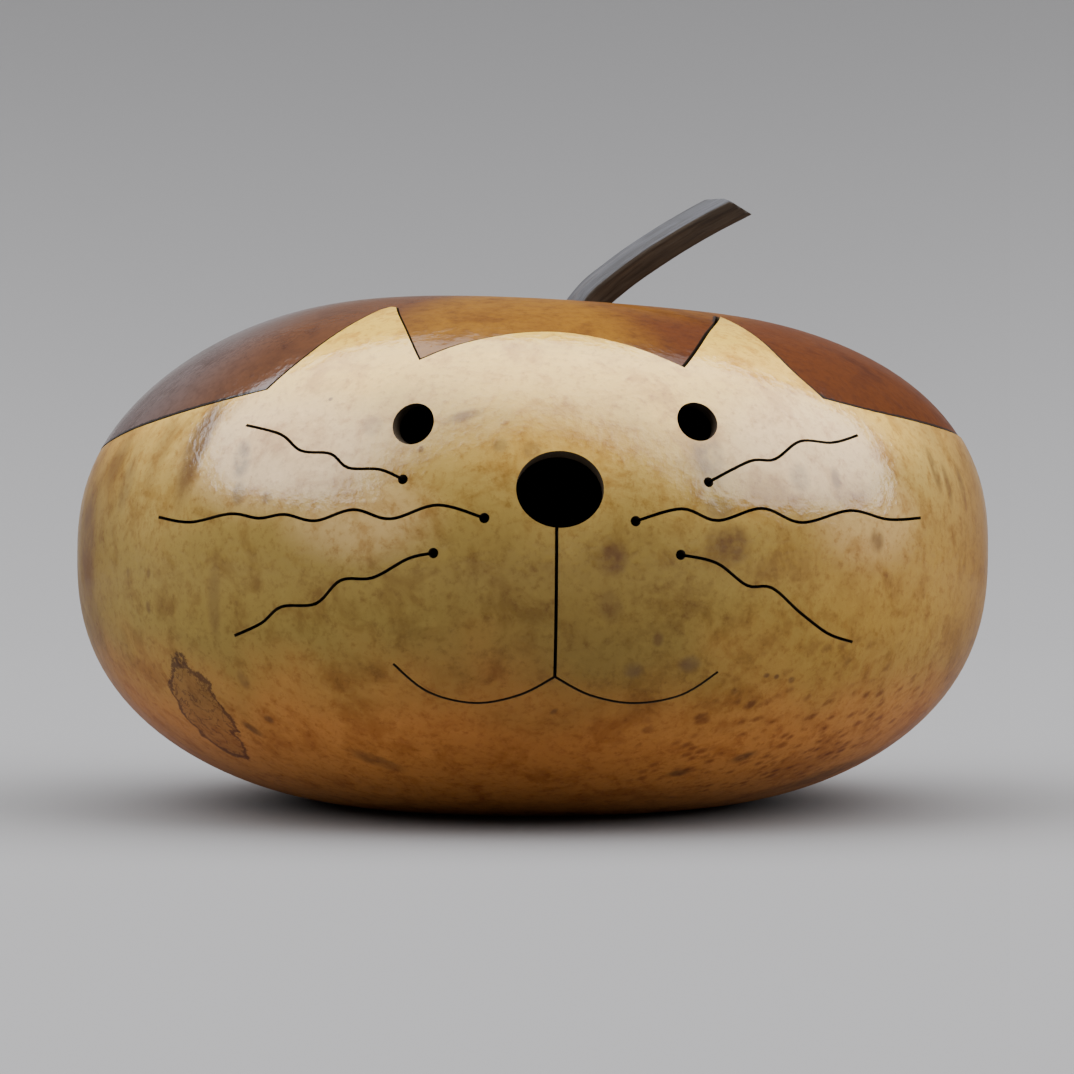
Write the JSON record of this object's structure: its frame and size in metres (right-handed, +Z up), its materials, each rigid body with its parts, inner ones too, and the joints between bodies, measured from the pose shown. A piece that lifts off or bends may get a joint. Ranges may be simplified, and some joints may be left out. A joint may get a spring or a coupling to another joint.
{
  "type": "carved dried bottle gourd container",
  "caption": "Squat dried bottle gourd sawn into a lidded container, its front pierced as a cat's face, with a stained lid and a curved dry stem.",
  "frame": {"origin": "centre of the flat spot that the gourd stands on", "axes": "+Z up, the face looks along -Y, +X to the viewer's right, where the stem leans"},
  "size_m": [0.2296, 0.2296, 0.1529],
  "materials": {
    "gourd_skin": "gloss varnish",
    "lid_stained_skin": "gloss varnish",
    "dry_stem": "matte"
  },
  "bodies": {
    "root": {"gourd_body": "gourd_skin", "gourd_lid": "lid_stained_skin", "stem": "dry_stem"}
  },
  "joints": []
}
